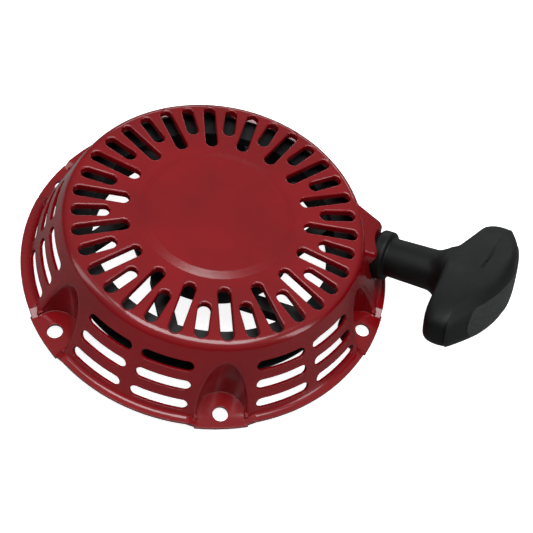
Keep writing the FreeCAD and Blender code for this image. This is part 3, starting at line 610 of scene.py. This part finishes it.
def stopperKnot(name, node, body, axis):
    # Overhand stopper knot: a trefoil, sine t plus two sine 2t across, cosine t less two cosine 2t up and
    # minus sine 3t along the rope, shrunk until its strands fill the ball.
    t = np.linspace(0, tau * 0.97, knotShape["count"])
    across, up = np.sin(t) + 2 * np.sin(2 * t), np.cos(t) - 2 * np.cos(2 * t)
    loop = np.stack([-1.1 * np.sin(3 * t), across, up], axis=1)
    loop *= (knotShape["ballMm"] - knotShape["strandMm"]) / np.abs(loop[:, 1:]).max()
    side = np.cross([0, 0, 1], axis)
    side /= np.linalg.norm(side)
    centre = knotCentre[name]
    obj = tubeAlong(name, loop @ np.stack([axis, side, np.cross(axis, side)]) + centre, knotShape["strandMm"])
    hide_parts(node)
    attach(obj, body)


ropeOnDrum = woundRope()
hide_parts("rope_coil")
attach(ropeOnDrum, "reel")
ropeDrawn = drawnRope(drawn)
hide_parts("rope_lead", "rope_tail")
drumAngle = radians(knotShape["drumAngleDeg"])
outward = np.array([cos(drumAngle), sin(drumAngle), 0])
knotCentre = {"handleKnot": seat + pull * knotShape["alongHandleMm"],
              "reelKnot": outward * knotShape["fromAxisMm"] + [0, 0, outlet[2]]}
stopperKnot("handleKnot", "handle_knot", "handle", pull)
stopperKnot("reelKnot", "reel_knot", "reel", outward)
print("rope made")

stage = {"seen": "#fbfbfb", "unseen": "#898989", "glow": 0.92, "halfSize": 3.0}


def paleFloor(spec):
    # Matt white board with a glow that only the viewer sees, so that the slots show bright while little light
    # bounces up under the dome.
    material, tree = newMaterial("paleFloor")
    ray = add(tree, "ShaderNodeLightPath")
    tone = add(tree, "ShaderNodeMix", {"data_type": "RGBA"}, {
        "Factor": (ray, "Is Camera Ray"), "A": linear(spec["unseen"]), "B": linear(spec["seen"])})
    glow = add(tree, "ShaderNodeMapRange", inputs={"Value": (ray, "Is Camera Ray"), "To Max": spec["glow"]})
    shader = add(tree, "ShaderNodeBsdfPrincipled", inputs={
        "Base Color": (tone, "Result"), "Roughness": 0.9, "Emission Color": linear(spec["seen"]),
        "Emission Strength": (glow, "Result")})
    add(tree, "ShaderNodeOutputMaterial", inputs={"Surface": (shader, "BSDF")})
    low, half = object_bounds()[0][2], spec["halfSize"]
    mesh = bpy.data.meshes.new("studioFloor")
    square = [(-half, -half, low), (half, -half, low), (half, half, low), (-half, half, low)]
    mesh.from_pydata(square, [], [(0, 1, 2, 3)])
    floor = bpy.data.objects.new("studioFloor", mesh)
    bpy.context.scene.collection.objects.link(floor)
    mesh.materials.append(material)
    floor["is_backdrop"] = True


lamps = {
    "overheadSoftbox": {"place": (0.0, -0.12, 1.1), "size": (0.8, 0.6), "watts": 9.5},
    "backStrip": {"place": (0.0, 0.95, 0.30), "size": (1.2, 0.12), "watts": 1.5},
    "leftSoftbox": {"place": (-0.75, -0.20, 0.50), "size": (0.2, 0.8), "watts": 1.2},
    "rightSoftbox": {"place": (0.80, -0.30, 0.45), "size": (0.2, 0.6), "watts": 1.6},
}


def softbox(name, spec):
    # a rectangular lamp turned to face the part's middle
    data = bpy.data.lights.new(name, "AREA")
    data.shape = "RECTANGLE"
    data.size, data.size_y = spec["size"]
    data.energy = spec["watts"]
    lamp = bpy.data.objects.new(name, data)
    bpy.context.scene.collection.objects.link(lamp)
    lamp.matrix_world = aimed(spec["place"], (0.0, 0.0, 0.0))


paleFloor(stage)
for name, spec in lamps.items():
    softbox(name, spec)


room = {"seen": 1.0, "fill": 0.13, "ceiling": 0.42, "horizon": 0.04}


def studioWorld(spec):
    # White to look at, dim as fill, and in reflections a ceiling that darkens towards the horizon.
    world = bpy.data.worlds.new("studio")
    world.use_nodes = True
    tree = world.node_tree
    tree.nodes.clear()
    ray = add(tree, "ShaderNodeLightPath")
    way = add(tree, "ShaderNodeTexCoord")
    height = add(tree, "ShaderNodeSeparateXYZ", inputs={"Vector": (way, "Generated")})
    mirrored = add(tree, "ShaderNodeMapRange", inputs={
        "Value": (height, "Z"), "To Min": spec["horizon"], "To Max": spec["ceiling"]})
    lit = add(tree, "ShaderNodeMix", {"data_type": "FLOAT"}, {
        "Factor": (ray, "Is Glossy Ray"), "A": spec["fill"], "B": (mirrored, "Result")})
    level = add(tree, "ShaderNodeMix", {"data_type": "FLOAT"}, {
        "Factor": (ray, "Is Camera Ray"), "A": (lit, "Result"), "B": spec["seen"]})
    sky = add(tree, "ShaderNodeBackground", inputs={"Color": (1, 1, 1, 1), "Strength": (level, "Result")})
    add(tree, "ShaderNodeOutputWorld", inputs={"Surface": (sky, "Background")})
    bpy.context.scene.world = world


studioWorld(room)
bpy.context.scene.view_settings.view_transform = "Standard"
print("stage lit")
